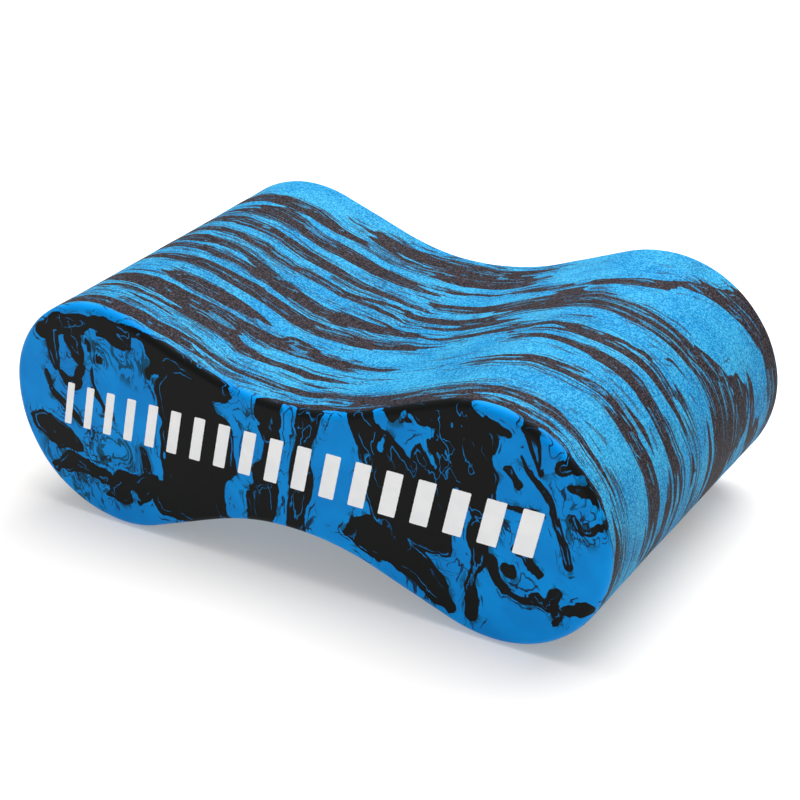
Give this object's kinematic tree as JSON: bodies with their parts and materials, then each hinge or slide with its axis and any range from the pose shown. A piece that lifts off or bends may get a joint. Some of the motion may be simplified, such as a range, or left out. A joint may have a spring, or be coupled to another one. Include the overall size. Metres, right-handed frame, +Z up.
{
  "type": "pull buoy",
  "caption": "Figure-eight swimming leg float of marbled foam, with a round lobe at each end, a hollow waist for the thighs, flat end faces and a printed bar stripe.",
  "frame": {"origin": "on the ground under the middle of the float, which lies on its two lobes", "axes": "+X along the length across both lobes, -Y out of the printed end face, +Z up"},
  "size_m": [0.235, 0.13, 0.085],
  "materials": {
    "foam_front": "matte marbled closed-cell foam in blue and black, smooth end face and finely sanded wall",
    "foam_rear": "matte marbled closed-cell foam in blue and black, smooth end face and finely sanded wall",
    "adhesive": "cured contact adhesive, dull and translucent",
    "ink_white": "matte white screen ink"
  },
  "bodies": {
    "root": {"foam_slab_front": "foam_front", "foam_slab_rear": "foam_rear", "bond_film": "adhesive", "front_print": "ink_white"}
  },
  "joints": []
}
